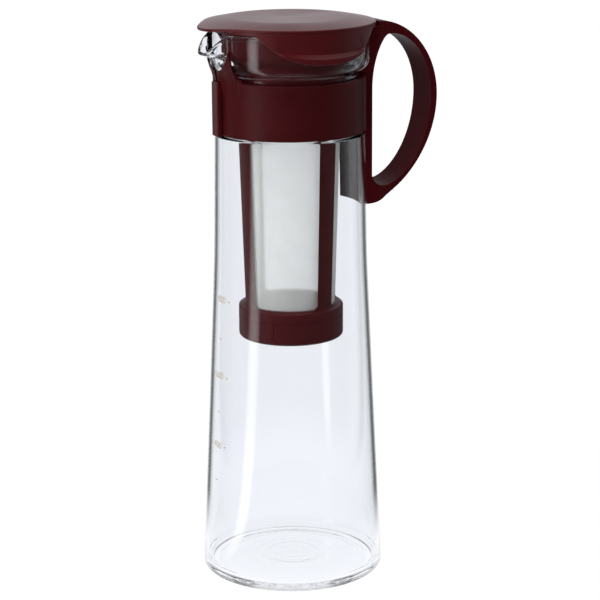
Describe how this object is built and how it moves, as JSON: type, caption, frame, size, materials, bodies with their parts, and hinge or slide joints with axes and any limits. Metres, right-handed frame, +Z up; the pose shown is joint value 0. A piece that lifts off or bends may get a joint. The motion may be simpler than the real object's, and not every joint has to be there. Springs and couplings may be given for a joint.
{
  "type": "cold brew coffee maker",
  "caption": "Slim glass jug with a pouring spout, plastic neck band, arched loop handle, pointed lid and a hanging mesh strainer.",
  "frame": {"origin": "centre of the jug's base on the table", "axes": "+Z up, +X towards the handle, -X towards the pouring spout"},
  "size_m": [0.1318, 0.0966, 0.297],
  "materials": {
    "glass": "clear heatproof glass",
    "band_plastic": "fine matte moulding",
    "clasp_plastic": "fine matte moulding",
    "handle_plastic": "fine matte moulding",
    "lid_plastic": "fine matte moulding",
    "strainer_plastic": "fine matte moulding",
    "mesh": "fine woven polyester mesh",
    "cap_plastic": "fine matte moulding"
  },
  "bodies": {
    "jug": {"glass_jug": "glass", "neck_band": "band_plastic", "handle": "handle_plastic"},
    "clasp": {"band_clasp": "clasp_plastic"},
    "strainer": {"strainer_frame": "strainer_plastic", "strainer_mesh": "mesh"},
    "cap": {"strainer_cap": "cap_plastic"},
    "lid": {"lid": "lid_plastic"}
  },
  "joints": [
    {"name": "clasp_slide", "type": "slide", "parent": "jug", "child": "clasp", "axis": [0, 0, -1], "range_m": [0, 0.03]},
    {"name": "strainer_lift", "type": "slide", "parent": "jug", "child": "strainer", "axis": [0, 0, 1], "range_m": [0, 0.19]},
    {"name": "lid_lift", "type": "slide", "parent": "strainer", "child": "lid", "axis": [0, 0, 1], "range_m": [0, 0.06]},
    {"name": "cap_twist", "type": "hinge", "parent": "strainer", "child": "cap", "pos_m": [0, 0, 0.135], "axis": [0, 0, 1], "range_deg": [-35, 0]}
  ]
}
